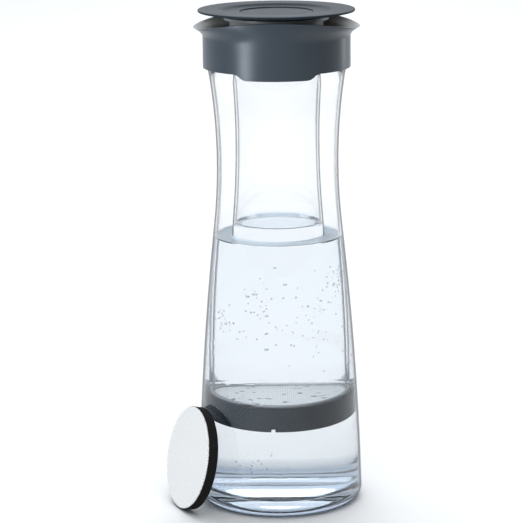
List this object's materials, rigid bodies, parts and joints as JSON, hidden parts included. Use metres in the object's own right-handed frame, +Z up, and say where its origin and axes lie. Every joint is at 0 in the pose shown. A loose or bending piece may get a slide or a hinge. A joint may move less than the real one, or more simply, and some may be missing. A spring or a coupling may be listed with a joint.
{
  "type": "filter carafe",
  "caption": "Waisted clear carafe with a spouted collar, dished lid and a hanging tube whose foot holds a filter disc; a spare disc leans beside it.",
  "frame": {"origin": "middle of the foot that the carafe stands on, on its axis", "axes": "+Z up along the carafe's axis, -Y towards the tab of the collar, +X and -X towards the two spouts; the spare disc leans at -X -Y"},
  "size_m": [0.12, 0.103, 0.3],
  "materials": {
    "clear_glass": "clear, polished",
    "clear_plastic": "clear, moulded",
    "graphite": "satin graphite grey",
    "seal_rubber": "soft translucent grey",
    "disc_mesh": "fine white woven mesh",
    "disc_band": "black",
    "carbon": "pressed black granules"
  },
  "bodies": {
    "carafe": {"carafe": "clear_glass"},
    "insert": {"pour_collar": "graphite", "collar_seal": "seal_rubber", "tube_hub": "graphite", "filter_tube": "clear_plastic"},
    "filter_cage": {"cage_ring": "graphite", "cage_grid": "graphite", "cage_seal": "seal_rubber", "fitted_disc_base_mesh": "disc_mesh", "fitted_disc_top_mesh": "disc_mesh", "fitted_disc_core": "carbon", "fitted_disc_band": "disc_band"},
    "lid": {"lid_top": "graphite", "lid_cap": "graphite", "lid_plug": "graphite", "lid_seal": "seal_rubber"},
    "spare_disc": {"spare_disc_base_mesh": "disc_mesh", "spare_disc_top_mesh": "disc_mesh", "spare_disc_core": "carbon", "spare_disc_band": "disc_band"}
  },
  "joints": [
    {"name": "insert_lift", "type": "slide", "parent": "carafe", "child": "insert", "axis": [0, 0, 1], "range_m": [0, 0.25]},
    {"name": "lid_lift", "type": "slide", "parent": "insert", "child": "lid", "axis": [0, 0, 1], "range_m": [0, 0.06]},
    {"name": "cage_pull", "type": "slide", "parent": "insert", "child": "filter_cage", "axis": [0, 0, -1], "range_m": [0, 0.025]},
    {"name": "spare_disc_lift", "type": "slide", "parent": "carafe", "child": "spare_disc", "axis": [0, 0, 1], "range_m": [0, 0.1]}
  ]
}
